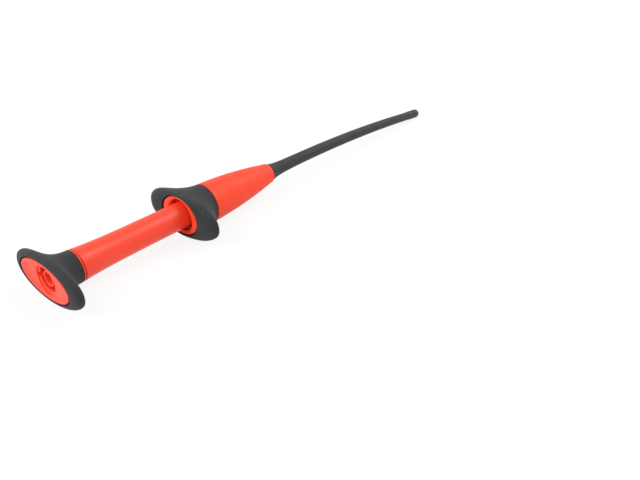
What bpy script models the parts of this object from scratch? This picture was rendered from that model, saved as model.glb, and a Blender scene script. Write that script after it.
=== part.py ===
"""Plunger test clip with a flexible shaft and spring steel pincers.

The clip lies along X on its finger guard and on the tip of its shaft. The socket end points to -X,
the pincers come out at +X and +Z is up. Every length is in metres. Stations along the clip are
measured from just inside the rim of the end plate, on the axis of the plunger.
"""
import math

import bmesh
import bpy
import numpy as np

# Clearances
SEAT_GAP = 0.0003
FINE_GAP = 0.00015
SLIDE_GAP = 0.0002

# Travel of the thumb grip, which is also the travel of the pincers out of the nose
STROKE = 0.012

# Soft grips: ovals that run out into a round neck
OVAL_POWER = 2.2
THUMB_HALF_WIDTH = 0.0178
THUMB_HALF_HEIGHT = 0.0074
THUMB_LENGTH = 0.0107
THUMB_NECK_RADIUS = 0.0056
THUMB_RIM_PROUD = 0.0002
GUARD_HALF_WIDTH = 0.0178
GUARD_HALF_HEIGHT = 0.0079
GUARD_LENGTH = 0.0114
GUARD_WALL = 0.0005
GUARD_SWEEP = 0.0013

# End plate and four millimetre socket
PLATE_HALF_WIDTH = 0.0133
PLATE_HALF_HEIGHT = 0.0065
PLATE_THICKNESS = 0.0022
PLATE_CHAMFER = 0.0003
DISH_DEPTH = 0.0007
DISH_REACH = 0.93
DISH_POWER = 6
MOUTH_RADIUS = 0.005
MOUTH_DEPTH = 0.00085
LEDGE_DEPTH = 0.00125
KEY_WIDTH = 0.0016
KEY_DEPTH = 0.0006
KEY_REACH = 0.00055
SOCKET_BORE_RADIUS = 0.0043
SOCKET_DEPTH = 0.026
SHROUD_RADIUS = 0.0028
SHROUD_WALL = 0.0003
SHROUD_SETBACK = 0.00135
SHROUD_LIP_RADIUS = 0.0022
SHROUD_LIP_LENGTH = 0.002
CONTACT_BORE_RADIUS = 0.00202
CONTACT_BORE_DEPTH = 0.019
CONTACT_FLANGE_RADIUS = 0.0036
CONTACT_FLANGE_LENGTH = 0.0012
STEM_RADIUS = 0.0014
STEM_GROOVE_RADIUS = 0.00105
CRIMP_LENGTH = 0.005
CLIP_RADIUS = 0.0026
CLIP_THICKNESS = 0.0006
CLIP_MOUTH = 0.0018

# Plunger
PLUNGER_RADIUS = 0.0047
PLUNGER_TAIL_RADIUS = 0.00475
FLARE_RADIUS = 0.00565
FLARE_FADE = 0.0085
GRIP_SPAN = 0.0523
BULKHEAD_THICKNESS = 0.003
CHAMBER_RADIUS = 0.003
SPRING_POCKET_RADIUS = 0.0039
SPRING_POCKET_DEPTH = 0.0187
STOP_RADIUS = 0.0053
STOP_LENGTH = 0.0025
STOP_WALL = 0.00075
SNAP_LIP_RADIUS = 0.00475
SNAP_LIP_LENGTH = 0.0006
LUG_REACH = 0.00065
LUG_WIDTH = 0.0016

# Handle
COLLAR_HALF_WIDTH = 0.009
COLLAR_HALF_HEIGHT = 0.007
COLLAR_THICKNESS = 0.0015
COLLAR_CHAMFER = 0.0004
HANDLE_HOLE_RADIUS = 0.006
HANDLE_HOLE_CHAMFER = 0.0005
HANDLE_BORE_RADIUS = 0.0056
HANDLE_NECK_RADIUS = 0.0066
HANDLE_SEAM_RADIUS = 0.00739
HANDLE_MIDDLE_RADIUS = 0.00623
HANDLE_FRONT_RADIUS = 0.00375
HANDLE_FRONT_ROUNDING = 0.00035
HANDLE_LENGTH = 0.032
BUSH_SETBACK = 0.002
BUSH_LENGTH = 0.0057
FRONT_CHAMBER_RADIUS = 0.00505
SEAT_DEPTH = 0.0128
SEAT_FLANGE_LENGTH = 0.001
SEAT_SPIGOT_RADIUS = 0.0026
SEAT_SPIGOT_LENGTH = 0.0015
ROOT_CAVITY_RADIUS = 0.00335
FERRULE_WALL = 0.0005
FERRULE_LENGTH = 0.004
GUIDE_FLANGE_RADIUS = 0.0019
GUIDE_FLANGE_LENGTH = 0.0009

# Spring and drive line
SPRING_WIRE_RADIUS = 0.0003
SPRING_TURNS = 12
ROD_RADIUS = 0.0006
ROD_SETBACK = 0.0047
ROD_GRIP = 0.002
COUPLER_RADIUS = 0.0013
COUPLER_LENGTH = 0.0045
CABLE_RADIUS = 0.0005

# Flexible shaft
SHAFT_ROOT_LENGTH = 0.0096
SHAFT_ROOT_RADIUS = 0.0024
SHAFT_LENGTH = 0.0945
SHAFT_BASE_RADIUS = 0.0036
SHAFT_FLARE_FADE = 0.0038
SHAFT_REAR_RADIUS = 0.0024
SHAFT_TIP_RADIUS = 0.00184
SHAFT_BORE_RADIUS = 0.0015
SHAFT_STRAIGHT = 0.0074
SHAFT_BEND = math.radians(6.1)
LINER_BORE_RADIUS = 0.0008

# Nose and pincers
NOSE_LENGTH = 0.008
NOSE_ROOT_LENGTH = 0.01
NOSE_RADIUS = 0.00195
NOSE_ROUNDING = 0.0012
NOSE_BORE_RADIUS = 0.00105
MOUTH_HALF_WIDTH = 0.00138
CARRIER_RADIUS = 0.00075
CARRIER_LENGTH = 0.004
JAW_WIRE_RADIUS = 0.0002
JAW_LENGTH = 0.0123
JAW_SIDE_OFFSET = 0.0004
JAW_HEIGHT_OFFSET = 0.0003
JAW_HOOK_LENGTH = 0.0009
JAW_SETBACK = 0.0003

# Facets round each kind of piece, all multiples of four
GRIP_SIDES = 48
HANDLE_SIDES = 40
PLUNGER_SIDES = 32
SMALL_SIDES = 20
WIRE_SIDES = 6
OVAL_STRETCH = 1.5

# Stations worked out from the sizes above
BULKHEAD_END = SOCKET_DEPTH + BULKHEAD_THICKNESS
BUSH_START = GRIP_SPAN + BUSH_SETBACK
BUSH_END = BUSH_START + BUSH_LENGTH
BORE_START = BUSH_END + SEAT_GAP
STOP_END = BORE_START + STOP_LENGTH
PLUNGER_END = STOP_END + SEAT_GAP + SNAP_LIP_LENGTH
SPRING_POCKET_START = PLUNGER_END - SPRING_POCKET_DEPTH
ROD_END_STATION = PLUNGER_END - ROD_SETBACK
BORE_END = STOP_END + STROKE + SEAT_GAP
SEAM_STATION = GRIP_SPAN + GUARD_LENGTH
HANDLE_START = SEAM_STATION + SEAT_GAP
HANDLE_END = HANDLE_START + HANDLE_LENGTH
SEAT_STATION = HANDLE_END - SEAT_DEPTH
SPRING_SEAT_FACE = SEAT_STATION - SEAT_GAP - SEAT_FLANGE_LENGTH
SPIGOT_START = SPRING_SEAT_FACE - SEAT_SPIGOT_LENGTH
ROOT_START = HANDLE_END + SEAT_GAP - SHAFT_ROOT_LENGTH
HUB_END = ROOT_START - SEAT_GAP
FERRULE_START = ROOT_START + SEAT_GAP
FERRULE_END = FERRULE_START + FERRULE_LENGTH
GUIDE_START = SPIGOT_START - SEAT_GAP - GUIDE_FLANGE_LENGTH
GUIDE_END = HANDLE_END - SHAFT_ROOT_LENGTH / 5
LINER_START = GUIDE_END + SEAT_GAP
COUPLER_START = ROD_END_STATION - ROD_GRIP
COUPLER_END = COUPLER_START + COUPLER_LENGTH
TAIL_LENGTH = NOSE_ROOT_LENGTH + SEAT_GAP
SHAFT_ARC = SHAFT_LENGTH - SHAFT_STRAIGHT - TAIL_LENGTH
SHAFT_BEND_RADIUS = SHAFT_ARC / SHAFT_BEND


def shaft_point(distance):
    """Centre and downward slope of the shaft at a distance from the handle's front face.

    The shaft runs straight out of the handle, droops along one round arc, and ends straight.
    """
    start = HANDLE_END
    if distance <= SHAFT_STRAIGHT:
        return start + distance, 0.0, 0.0
    turned = min((distance - SHAFT_STRAIGHT) / SHAFT_BEND_RADIUS, SHAFT_BEND)
    x = start + SHAFT_STRAIGHT + SHAFT_BEND_RADIUS * math.sin(turned)
    z = -SHAFT_BEND_RADIUS * (1.0 - math.cos(turned))
    straight = max(0.0, distance - SHAFT_STRAIGHT - SHAFT_ARC)
    return x + straight * math.cos(turned), z - straight * math.sin(turned), turned


def nose_outline():
    """Outside of the nose from its rear end to its front face, as distances past the sleeve."""
    root = SHAFT_BORE_RADIUS - FINE_GAP
    points = [(-NOSE_ROOT_LENGTH, root), (SEAT_GAP, root), (SEAT_GAP, SHAFT_TIP_RADIUS)]
    points.append((SEAT_GAP + 0.1 * NOSE_LENGTH, NOSE_RADIUS))
    steps = 5
    for step in range(steps + 1):
        angle = step / steps * math.pi / 2
        x = NOSE_LENGTH - NOSE_ROUNDING * (1.0 - math.sin(angle))
        points.append((x, NOSE_RADIUS - NOSE_ROUNDING * 0.5 * (1.0 - math.cos(angle))))
    return points


def tip_reach():
    """Furthest the nose reaches forward, and how far below the axis its lowest point lies."""
    x, z, slope = shaft_point(SHAFT_LENGTH)
    ahead = [x + d * math.cos(slope) + r * math.sin(slope) for d, r in nose_outline()]
    below = [d * math.sin(slope) + r * math.cos(slope) - z for d, r in nose_outline()]
    return max(ahead), max(below)


TIP_REACH, TIP_DEPTH = tip_reach()
AXIS_HEIGHT = max(GUARD_HALF_HEIGHT, THUMB_HALF_HEIGHT, TIP_DEPTH)
MIDDLE_STATION = (TIP_REACH - THUMB_RIM_PROUD) / 2

RED = (0.83, 0.06, 0.03)
DARK_RED = (0.62, 0.03, 0.02)
CHARCOAL = (0.035, 0.036, 0.038)
STEEL = (0.62, 0.62, 0.64)
BRASS = (0.72, 0.55, 0.24)
NICKEL = (0.68, 0.66, 0.6)
WHITE = (0.8, 0.8, 0.78)


def angles(count, stretch=1.0):
    """Polar angles round the axis, closer together at the two Y ends when stretched."""
    turn = np.arange(count) * 2.0 * np.pi / count
    return np.arctan2(np.sin(turn), stretch * np.cos(turn))


def oval_radius(phi, half_width, half_height, power=2.0):
    """Distance from the axis to a superellipse at each polar angle."""
    across = np.abs(np.cos(phi) / half_width) ** power
    upright = np.abs(np.sin(phi) / half_height) ** power
    return (across + upright) ** (-1.0 / power)


def flat_ring(station, radius, phi):
    """One ring of points in the plane at a station; radius and station may vary with the angle."""
    x = np.broadcast_to(station, phi.shape)
    return np.stack([x, radius * np.cos(phi), radius * np.sin(phi)], axis=-1)


def bezier(points, share):
    """Point of a cubic Bezier curve, where the four controls may be arrays."""
    rest = 1.0 - share
    a, b, c, d = points
    return rest**3 * a + 3 * rest**2 * share * b + 3 * rest * share**2 * c + share**3 * d


def loft(rings, closed):
    """Mesh of the skin through rings of equal length; closed joins the last ring to the first."""
    bm = bmesh.new()
    loops = [[bm.verts.new(point) for point in ring] for ring in rings]
    pairs = list(zip(loops, loops[1:]))
    if closed:
        pairs.append((loops[-1], loops[0]))
    for first, second in pairs:
        for i in range(len(first)):
            bm.faces.new((first[i - 1], first[i], second[i], second[i - 1]))
    if not closed:
        bm.faces.new(loops[0])
        bm.faces.new(loops[-1])
    return bm


def turn(outline, sides, closed=True):
    """Mesh of an outline of (station, radius) points spun round the axis.

    A closed outline makes a ring; an open one starts and ends on the axis.
    """
    bm = bmesh.new()
    verts = [bm.verts.new((x, 0.0, radius)) for x, radius in outline]
    edges = [bm.edges.new(pair) for pair in zip(verts, verts[1:])]
    if closed:
        edges.append(bm.edges.new((verts[-1], verts[0])))
    bmesh.ops.spin(bm, geom=verts + edges, cent=(0, 0, 0), axis=(1, 0, 0),
                   angle=2 * math.pi, steps=sides, use_merge=True)
    bmesh.ops.remove_doubles(bm, verts=bm.verts, dist=1e-7)
    return bm


def sweep(centres, sides_way, radius, sides):
    """Mesh of a round wire along a row of centres; sides_way is a direction across it at each."""
    along = np.gradient(centres, axis=0)
    along /= np.linalg.norm(along, axis=1, keepdims=True)
    across = sides_way - along * np.sum(sides_way * along, axis=1, keepdims=True)
    across /= np.linalg.norm(across, axis=1, keepdims=True)
    third = np.cross(along, across)
    phi = angles(sides)
    rings = centres[:, None] + radius * (across[:, None] * np.cos(phi)[None, :, None]
                                         + third[:, None] * np.sin(phi)[None, :, None])
    return loft(list(rings), closed=False)


def add_piece(name, bm, parent, station, colour, roughness, metallic=0.0):
    """Object with its origin on the axis at a station, its own material and smooth shading."""
    bmesh.ops.translate(bm, verts=bm.verts, vec=(-station, 0, 0))
    bmesh.ops.recalc_face_normals(bm, faces=bm.faces)
    mesh = bpy.data.meshes.new(name)
    bm.to_mesh(mesh)
    bm.free()
    mesh.shade_smooth()
    mesh.set_sharp_from_angle(angle=math.radians(35))
    finish = bpy.data.materials.new(name)
    finish.use_nodes = True
    shader = finish.node_tree.nodes["Principled BSDF"]
    shader.inputs["Base Color"].default_value = (*colour, 1.0)
    shader.inputs["Roughness"].default_value = roughness
    shader.inputs["Metallic"].default_value = metallic
    mesh.materials.append(finish)
    piece = bpy.data.objects.new(name, mesh)
    bpy.context.scene.collection.objects.link(piece)
    piece.parent = parent
    piece.location = (station, 0, 0)
    return piece


def add_block(name, low, high, parent):
    """Hidden box between two corners, for a Boolean modifier to read."""
    bm = bmesh.new()
    bmesh.ops.create_cube(bm, size=1.0)
    size = np.subtract(high, low)
    bmesh.ops.scale(bm, verts=bm.verts, vec=size)
    bmesh.ops.translate(bm, verts=bm.verts, vec=np.add(low, high) / 2)
    mesh = bpy.data.meshes.new(name)
    bm.to_mesh(mesh)
    bm.free()
    block = bpy.data.objects.new(name, mesh)
    bpy.context.scene.collection.objects.link(block)
    block.parent = parent
    block.hide_render = True
    block.display_type = "WIRE"
    return block


def combine(piece, block, operation):
    """Boolean modifier that cuts a block out of a piece or adds it."""
    modifier = piece.modifiers.new(operation.lower(), "BOOLEAN")
    modifier.operation = operation
    modifier.solver = "EXACT"
    modifier.object = block


def add_empty(name, location, parent=None, pitch=0.0):
    """Plain empty that carries the pieces of one moving body."""
    empty = bpy.data.objects.new(name, None)
    bpy.context.scene.collection.objects.link(empty)
    empty.parent = parent
    empty.location = location
    empty.rotation_euler = (0, pitch, 0)
    empty.empty_display_size = 0.005
    return empty


def grip_rings(edge, rear, rim, end, half_width, half_height, recess, recess_depth, bore, neck,
               bulges, sweeps):
    """Rings of a soft grip: a rounded oval rim that runs out through a hollow into a neck.

    Round each polar angle the rim is a quarter turn from the recess's edge to the widest point and
    then an S curve to the neck, both cubic Bezier curves. rear, rim, bulges and sweeps each give a
    value at the top and one at the wide ends; the others lie between by how far the oval reaches.
    """
    phi = angles(GRIP_SIDES, OVAL_STRETCH)
    outer = oval_radius(phi, half_width, half_height, OVAL_POWER)
    inner = oval_radius(phi, *recess)
    share = (outer - half_height) / (half_width - half_height)
    rear_x, rim_x, bulge, sweep_back = (low + (high - low) * share
                                        for low, high in (rear, rim, bulges, sweeps))
    quarter_x = (edge + 0 * rim_x, rear_x + (rear_x - edge) / 3, rim_x - 0.55 * (rim_x - rear_x),
                 rim_x)
    quarter_r = (inner, inner + 0.6 * (outer - inner), outer, outer)
    curve_x = (rim_x, rim_x + bulge, end - sweep_back, end + 0 * rim_x)
    curve_r = (outer, outer, neck + 0 * outer, neck + 0 * outer)
    rings = []
    for step in range(6):
        rings.append(flat_ring(bezier(quarter_x, step / 5), bezier(quarter_r, step / 5), phi))
    for step in range(1, 10):
        rings.append(flat_ring(bezier(curve_x, step / 9), bezier(curve_r, step / 9), phi))
    rings.append(flat_ring(end, bore, phi))
    rings.append(flat_ring(recess_depth, bore, phi))
    rings.append(flat_ring(recess_depth, inner, phi))
    return rings


def add_thumb_grip(parent):
    """Soft thumb rest moulded round the end plate and the tail of the plunger."""
    recess = (PLATE_HALF_WIDTH + SEAT_GAP, PLATE_HALF_HEIGHT + SEAT_GAP)
    rings = grip_rings(edge=-THUMB_RIM_PROUD, rear=(-THUMB_RIM_PROUD, -THUMB_RIM_PROUD),
                       rim=(0.0011, 0.002), end=THUMB_LENGTH, half_width=THUMB_HALF_WIDTH,
                       half_height=THUMB_HALF_HEIGHT, recess=recess,
                       recess_depth=PLATE_THICKNESS + SEAT_GAP,
                       bore=PLUNGER_TAIL_RADIUS + SEAT_GAP, neck=THUMB_NECK_RADIUS,
                       bulges=(0.0024, 0.003), sweeps=(0.0061, 0.009))
    add_piece("thumb_grip", loft(rings, closed=True), parent, 0.0, CHARCOAL, 0.75)


def add_finger_guard(parent):
    """Soft guard with two wings, moulded round the handle between collar and seam."""
    recess = (COLLAR_HALF_WIDTH + SEAT_GAP, COLLAR_HALF_HEIGHT + SEAT_GAP)
    rear = GRIP_SPAN - SEAT_GAP
    rings = grip_rings(edge=rear, rear=(rear, rear - GUARD_SWEEP),
                       rim=(rear + 0.0014, rear + 0.0027), end=SEAM_STATION,
                       half_width=GUARD_HALF_WIDTH,
                       half_height=GUARD_HALF_HEIGHT, recess=recess,
                       recess_depth=GRIP_SPAN + COLLAR_THICKNESS + SEAT_GAP,
                       bore=HANDLE_NECK_RADIUS + SEAT_GAP,
                       neck=HANDLE_NECK_RADIUS + SEAT_GAP + GUARD_WALL,
                       bulges=(0.0026, 0.0014), sweeps=(0.0025, 0.0042))
    add_piece("finger_guard", loft(rings, closed=True), parent, GRIP_SPAN, CHARCOAL, 0.75)


def add_end_plate(parent):
    """Oval plate, dished for the thumb inside a flat rim, with the keyed mouth of the socket."""
    phi = angles(GRIP_SIDES, OVAL_STRETCH)
    edge = oval_radius(phi, PLATE_HALF_WIDTH, PLATE_HALF_HEIGHT)
    rings = [
        flat_ring(-THUMB_RIM_PROUD, edge - PLATE_CHAMFER, phi),
        flat_ring(PLATE_CHAMFER - THUMB_RIM_PROUD, edge, phi),
        flat_ring(PLATE_THICKNESS, edge, phi),
        flat_ring(PLATE_THICKNESS, SOCKET_BORE_RADIUS, phi),
        flat_ring(LEDGE_DEPTH, SOCKET_BORE_RADIUS, phi),
        flat_ring(MOUTH_DEPTH, MOUTH_RADIUS, phi),
    ]
    for step in range(5):
        radius = MOUTH_RADIUS + (DISH_REACH * edge - MOUTH_RADIUS) * step / 4
        depth = DISH_DEPTH * (1 - (radius / (DISH_REACH * edge)) ** DISH_POWER)
        rings.append(flat_ring(depth - THUMB_RIM_PROUD, radius, phi))
    plate = add_piece("end_plate", loft(rings, closed=True), parent, 0.0, RED, 0.35)
    key = add_block("key_cutter", (0, SOCKET_BORE_RADIUS - KEY_REACH, -KEY_WIDTH / 2),
                    (LEDGE_DEPTH + KEY_DEPTH, SOCKET_BORE_RADIUS + KEY_REACH, KEY_WIDTH / 2), parent)
    combine(plate, key, "DIFFERENCE")


def add_plunger_tube(parent):
    """Tube that carries the socket, flared where it leaves the thumb grip."""
    flare_start = THUMB_LENGTH + SEAT_GAP
    step_radius = STOP_RADIUS - STOP_WALL - SEAT_GAP
    outline = [(PLATE_THICKNESS + SEAT_GAP, PLUNGER_TAIL_RADIUS), (flare_start, PLUNGER_TAIL_RADIUS)]
    for step in range(8):
        ahead = FLARE_FADE * 4.0 * (step / 7) ** 1.5
        swell = (FLARE_RADIUS - PLUNGER_RADIUS) * math.exp(-ahead / FLARE_FADE)
        outline.append((flare_start + ahead, PLUNGER_RADIUS + swell * (step < 7)))
    outline += [
        (BUSH_END, PLUNGER_RADIUS),
        (BUSH_END, step_radius),
        (STOP_END + SEAT_GAP, step_radius),
        (STOP_END + SEAT_GAP, SNAP_LIP_RADIUS),
        (PLUNGER_END, step_radius),
        (PLUNGER_END, SPRING_POCKET_RADIUS),
        (SPRING_POCKET_START, SPRING_POCKET_RADIUS),
        (SPRING_POCKET_START, CHAMBER_RADIUS),
        (BULKHEAD_END, CHAMBER_RADIUS),
        (BULKHEAD_END, STEM_RADIUS + SEAT_GAP),
        (SOCKET_DEPTH, STEM_RADIUS + SEAT_GAP),
        (SOCKET_DEPTH, SOCKET_BORE_RADIUS),
        (PLATE_THICKNESS + SEAT_GAP, SOCKET_BORE_RADIUS),
    ]
    add_piece("plunger_tube", turn(outline, PLUNGER_SIDES), parent, flare_start, RED, 0.35)


def add_socket(parent):
    """Contact of the socket, its insulating shroud and the clip that holds it to the bulkhead."""
    contact_radius = SHROUD_RADIUS - SHROUD_WALL - FINE_GAP
    flange_end = SOCKET_DEPTH - SEAT_GAP
    flange_start = flange_end - CONTACT_FLANGE_LENGTH
    contact_start = SHROUD_SETBACK + SHROUD_LIP_LENGTH + SEAT_GAP
    bore_end = contact_start + CONTACT_BORE_DEPTH
    clip_start = BULKHEAD_END + SEAT_GAP
    groove_start = clip_start - FINE_GAP
    groove_end = clip_start + CLIP_THICKNESS + FINE_GAP
    crimp_end = groove_end + CRIMP_LENGTH
    rod_hole = ROD_RADIUS + FINE_GAP
    contact = [
        (contact_start, CONTACT_BORE_RADIUS),
        (contact_start, contact_radius),
        (flange_start, contact_radius),
        (flange_start, CONTACT_FLANGE_RADIUS),
        (flange_end, CONTACT_FLANGE_RADIUS),
        (flange_end, STEM_RADIUS),
        (groove_start, STEM_RADIUS),
        (groove_start, STEM_GROOVE_RADIUS),
        (groove_end, STEM_GROOVE_RADIUS),
        (groove_end, STEM_RADIUS),
        (crimp_end, STEM_RADIUS),
        (crimp_end, rod_hole),
        (crimp_end - ROD_GRIP - SEAT_GAP, rod_hole),
        (crimp_end - ROD_GRIP - SEAT_GAP, 0.0),
    ]
    contact = [(bore_end, 0.0), (bore_end, CONTACT_BORE_RADIUS)] + contact
    add_piece("socket_contact", turn(contact, SMALL_SIDES, closed=False), parent, contact_start,
              NICKEL, 0.3, 1.0)
    shroud = [
        (SHROUD_SETBACK, SHROUD_LIP_RADIUS),
        (SHROUD_SETBACK, SHROUD_RADIUS - SHROUD_WALL / 2),
        (SHROUD_SETBACK + SHROUD_WALL / 2, SHROUD_RADIUS),
        (flange_start - SEAT_GAP, SHROUD_RADIUS),
        (flange_start - SEAT_GAP, SHROUD_RADIUS - SHROUD_WALL),
        (SHROUD_SETBACK + SHROUD_LIP_LENGTH, SHROUD_RADIUS - SHROUD_WALL),
        (SHROUD_SETBACK + SHROUD_LIP_LENGTH, SHROUD_LIP_RADIUS),
    ]
    add_piece("socket_shroud", turn(shroud, SMALL_SIDES), parent, SHROUD_SETBACK, RED, 0.4)
    hole = STEM_GROOVE_RADIUS + FINE_GAP
    ring = [(clip_start, hole), (clip_start, CLIP_RADIUS),
            (clip_start + CLIP_THICKNESS, CLIP_RADIUS), (clip_start + CLIP_THICKNESS, hole)]
    clip = add_piece("contact_clip", turn(ring, SMALL_SIDES), parent, clip_start, STEEL, 0.35, 1.0)
    mouth = add_block("clip_mouth_cutter", (BULKHEAD_END, -CLIP_MOUTH / 2, -2 * CLIP_RADIUS),
                      (groove_end + FINE_GAP, CLIP_MOUTH / 2, 0.0), parent)
    combine(clip, mouth, "DIFFERENCE")
    return crimp_end


def add_stop_collar(parent):
    """Keyed collar snapped on the plunger's end, which the spring holds against the bush."""
    inside = STOP_RADIUS - STOP_WALL
    ring = [(BORE_START, inside), (BORE_START, STOP_RADIUS), (STOP_END, STOP_RADIUS),
            (STOP_END, inside)]
    collar = add_piece("stop_collar", turn(ring, PLUNGER_SIDES), parent, BORE_START, WHITE, 0.5)
    for side in (-1, 1):
        near = side * (inside + STOP_WALL / 2)
        far = side * (STOP_RADIUS + LUG_REACH)
        lug = add_block("stop_lug", (BORE_START, min(near, far), -LUG_WIDTH / 2),
                        (STOP_END, max(near, far), LUG_WIDTH / 2), parent)
        combine(collar, lug, "UNION")


def handle_radius(station):
    """Outside of the handle: a parabola through its seam, middle and front radii."""
    share = (station - HANDLE_START) / HANDLE_LENGTH
    seam = 2 * (share - 0.5) * (share - 1) * HANDLE_SEAM_RADIUS
    middle = 4 * share * (1 - share) * HANDLE_MIDDLE_RADIUS
    return seam + middle + 2 * share * (share - 0.5) * HANDLE_FRONT_RADIUS


def add_handle(parent):
    """Barrel of the handle, with its oval rear collar and the bores that hold the mechanism."""
    phi = angles(HANDLE_SIDES)
    collar = oval_radius(phi, COLLAR_HALF_WIDTH, COLLAR_HALF_HEIGHT)
    collar_end = GRIP_SPAN + COLLAR_THICKNESS
    rings = [
        flat_ring(GRIP_SPAN, collar - COLLAR_CHAMFER, phi),
        flat_ring(GRIP_SPAN + COLLAR_CHAMFER, collar, phi),
        flat_ring(collar_end, collar, phi),
        flat_ring(collar_end, HANDLE_NECK_RADIUS, phi),
        flat_ring(HANDLE_START, HANDLE_NECK_RADIUS, phi),
    ]
    steps = 9
    rounding = HANDLE_FRONT_ROUNDING
    for step in range(steps + 1):
        station = HANDLE_START + (HANDLE_LENGTH - rounding) * step / steps
        rings.append(flat_ring(station, handle_radius(station), phi))
    edge = handle_radius(HANDLE_END - rounding)
    for step in range(1, 4):
        angle = step / 3 * math.pi / 2
        station = HANDLE_END - rounding * (1 - math.sin(angle))
        rings.append(flat_ring(station, edge - rounding * (1 - math.cos(angle)), phi))
    inside = [
        (HANDLE_END, SHAFT_ROOT_RADIUS + SEAT_GAP),
        (FERRULE_END + SEAT_GAP, SHAFT_ROOT_RADIUS + SEAT_GAP),
        (FERRULE_END + SEAT_GAP, ROOT_CAVITY_RADIUS),
        (SEAT_STATION, ROOT_CAVITY_RADIUS),
        (SEAT_STATION, FRONT_CHAMBER_RADIUS),
        (BORE_END, FRONT_CHAMBER_RADIUS),
        (BORE_END, HANDLE_BORE_RADIUS),
        (BORE_START, HANDLE_BORE_RADIUS),
        (BORE_START, HANDLE_HOLE_RADIUS),
        (GRIP_SPAN + HANDLE_HOLE_CHAMFER, HANDLE_HOLE_RADIUS),
        (GRIP_SPAN, HANDLE_HOLE_RADIUS + HANDLE_HOLE_CHAMFER),
    ]
    rings += [flat_ring(station, radius, phi) for station, radius in inside]
    handle = add_piece("handle_body", loft(rings, closed=True), parent, HANDLE_START, RED, 0.35)
    groove = STOP_RADIUS + LUG_REACH + SLIDE_GAP
    half = LUG_WIDTH / 2 + SLIDE_GAP
    start = BORE_START - SEAT_GAP
    cutter = add_block("key_groove_cutter", (start, -groove, -half), (BORE_END, groove, half), parent)
    combine(handle, cutter, "DIFFERENCE")


def add_bush(parent):
    """Bush in the mouth of the handle, which guides the plunger and keeps it in."""
    inside = PLUNGER_RADIUS + SLIDE_GAP
    outside = HANDLE_HOLE_RADIUS - SEAT_GAP
    chamfer = (outside - inside) / 3
    ring = [
        (BUSH_START, inside + chamfer),
        (BUSH_START, outside),
        (BUSH_END, outside),
        (BUSH_END, inside),
        (BUSH_START + chamfer, inside),
    ]
    add_piece("retaining_bush", turn(ring, PLUNGER_SIDES), parent, BUSH_START, DARK_RED, 0.5)


def add_spring_seat(parent):
    """Flanged plug that the spring pushes on, with a hub that presses on the shaft's root."""
    bore = SHAFT_BORE_RADIUS
    flange = FRONT_CHAMBER_RADIUS - SEAT_GAP
    hub = ROOT_CAVITY_RADIUS - SEAT_GAP
    seat = [
        (SPIGOT_START, bore),
        (SPIGOT_START, SEAT_SPIGOT_RADIUS),
        (SPRING_SEAT_FACE, SEAT_SPIGOT_RADIUS),
        (SPRING_SEAT_FACE, flange),
        (SEAT_STATION - SEAT_GAP, flange),
        (SEAT_STATION - SEAT_GAP, hub),
        (HUB_END, hub),
        (HUB_END, bore),
    ]
    add_piece("spring_seat", turn(seat, SMALL_SIDES), parent, SPIGOT_START, WHITE, 0.5)
    tube = SHAFT_BORE_RADIUS - FINE_GAP
    guide = [
        (GUIDE_START, LINER_BORE_RADIUS),
        (GUIDE_START, GUIDE_FLANGE_RADIUS),
        (GUIDE_START + GUIDE_FLANGE_LENGTH, GUIDE_FLANGE_RADIUS),
        (GUIDE_START + GUIDE_FLANGE_LENGTH, tube),
        (GUIDE_END, tube),
        (GUIDE_END, LINER_BORE_RADIUS),
    ]
    add_piece("guide_tube", turn(guide, SMALL_SIDES), parent, GUIDE_START, BRASS, 0.3, 1.0)
    inside = SHAFT_ROOT_RADIUS + FINE_GAP
    ferrule = [(FERRULE_START, inside), (FERRULE_START, inside + FERRULE_WALL),
               (FERRULE_END, inside + FERRULE_WALL), (FERRULE_END, inside)]
    add_piece("anchor_ferrule", turn(ferrule, SMALL_SIDES), parent, FERRULE_START, STEEL, 0.35, 1.0)


def add_spring(parent):
    """Return spring between the shoulder in the plunger and the spring seat."""
    start = SPRING_POCKET_START + SEAT_GAP + SPRING_WIRE_RADIUS
    end = SPRING_SEAT_FACE - SEAT_GAP - SPRING_WIRE_RADIUS
    radius = SPRING_POCKET_RADIUS - SEAT_GAP - SPRING_WIRE_RADIUS
    steps = SPRING_TURNS * 10
    share = np.linspace(0.0, 1.0, steps + 1)
    turned = 2 * np.pi * SPRING_TURNS * share
    across = np.stack([0 * turned, np.cos(turned), np.sin(turned)], axis=-1)
    centres = across * radius
    centres[:, 0] = start + (end - start) * share
    spring = sweep(centres, across, SPRING_WIRE_RADIUS, WIRE_SIDES)
    add_piece("return_spring", spring, parent, end, STEEL, 0.3, 1.0)


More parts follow.
